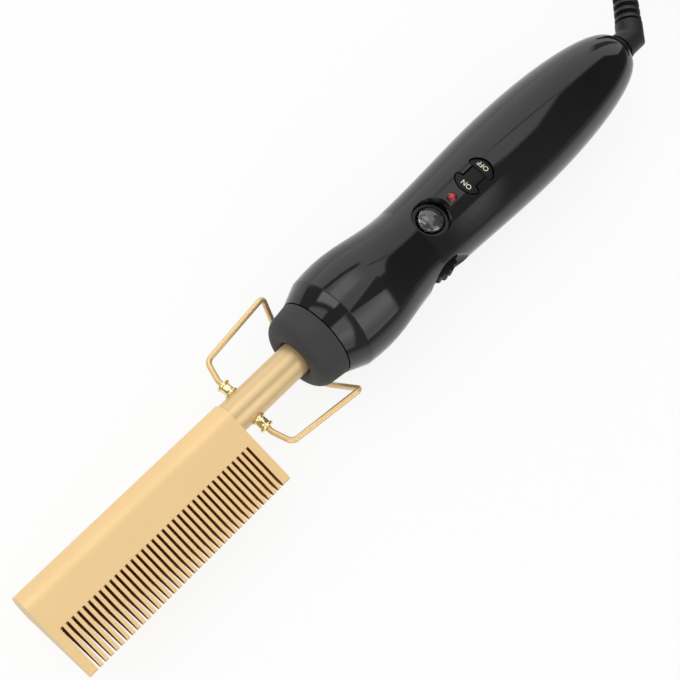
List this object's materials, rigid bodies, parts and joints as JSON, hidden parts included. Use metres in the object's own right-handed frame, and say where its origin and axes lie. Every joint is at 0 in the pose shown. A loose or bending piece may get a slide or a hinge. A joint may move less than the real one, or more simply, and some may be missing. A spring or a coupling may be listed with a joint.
{
  "type": "hot comb",
  "caption": "Electric straightening comb: a heated straight comb on a neck tube, a moulded handle with a rocker, push button and thumb dial, a folding wire stand and a swivel mains cord.",
  "frame": {"origin": "middle of the comb, handle and stand, without the cord, on the surface that it lies on", "axes": "+X from the comb along the handle towards the cord, the teeth point to -Y, the controls face +Z"},
  "size_m": [0.4609, 0.1023, 0.0398],
  "materials": {
    "comb_gold": "satin, gold anodised",
    "tube_gold": "satin",
    "bush_brass": "polished",
    "wire_gold": "satin gold plating",
    "collar_grey": "matt",
    "shell_black": "gloss",
    "control_black": "satin",
    "control_grey": "satin",
    "lens_red": "clear red",
    "led_clear": "clear",
    "ceramic": "matt",
    "fuse_case": "satin",
    "lead_red": "matt",
    "lead_blue": "matt",
    "phenolic": "matt",
    "steel": "bright zinc",
    "board_green": "satin",
    "parts_yellow": "satin",
    "inner_grey": "satin",
    "swivel_black": "satin",
    "contact_brass": "polished",
    "cord_black": "satin",
    "plug_black": "satin",
    "pin_metal": "bright"
  },
  "bodies": {
    "body": {"comb_head": "comb_gold", "heater_core": "ceramic", "thermal_fuse": "fuse_case", "heater_leads": "lead_red", "neck_tube": "tube_gold", "tube_mount": "phenolic", "retaining_clip": "steel", "front_collar": "collar_grey", "upper_shell": "shell_black", "lower_shell": "shell_black", "shell_screws": "steel", "circuit_board": "board_green", "board_components": "parts_yellow", "button_bezel": "control_black", "button_switch": "inner_grey", "indicator_lens": "lens_red", "indicator_led": "led_clear", "rocker_housing": "inner_grey", "dial_potentiometer": "fuse_case", "swivel_socket": "swivel_black", "contact_carrier": "inner_grey", "mains_leads": "lead_blue", "stand_bush_left": "bush_brass", "stand_bush_right": "bush_brass", "cord_lead": "cord_black", "cord_coil": "cord_black", "cord_tail": "cord_black", "coil_tie": "control_black", "plug_body": "plug_black", "plug_pins": "pin_metal"},
    "stand": {"stand_wire": "wire_gold"},
    "rocker": {"rocker": "control_black"},
    "button": {"push_button": "control_grey"},
    "dial": {"dial_wheel": "control_black"},
    "swivel": {"swivel_elbow": "swivel_black", "contact_pin": "contact_brass", "strain_relief": "swivel_black"}
  },
  "joints": [
    {"name": "stand_fold", "type": "hinge", "parent": "body", "child": "stand", "pos_m": [-0.07805, -0.006, 0.02045], "axis": [0, 1, 0], "range_deg": [0, 120]},
    {"name": "rocker_tilt", "type": "hinge", "parent": "body", "child": "rocker", "pos_m": [0.03465, -0.006, 0.03195], "axis": [0, 1, 0], "range_deg": [-4, 4]},
    {"name": "button_press", "type": "slide", "parent": "body", "child": "button", "axis": [0, 0, -1], "range_m": [0, 0.001], "stiffness_N_per_m": 300, "springref_m": -0.003},
    {"name": "dial_turn", "type": "hinge", "parent": "body", "child": "dial", "pos_m": [0.00815, -0.01341, 0.02045], "axis": [0, 0, 1], "range_deg": [-135, 135]},
    {"name": "swivel_turn", "type": "hinge", "parent": "body", "child": "swivel", "pos_m": [0.13045, -0.006, 0.02045], "axis": [1, 0, 0], "continuous": true}
  ]
}
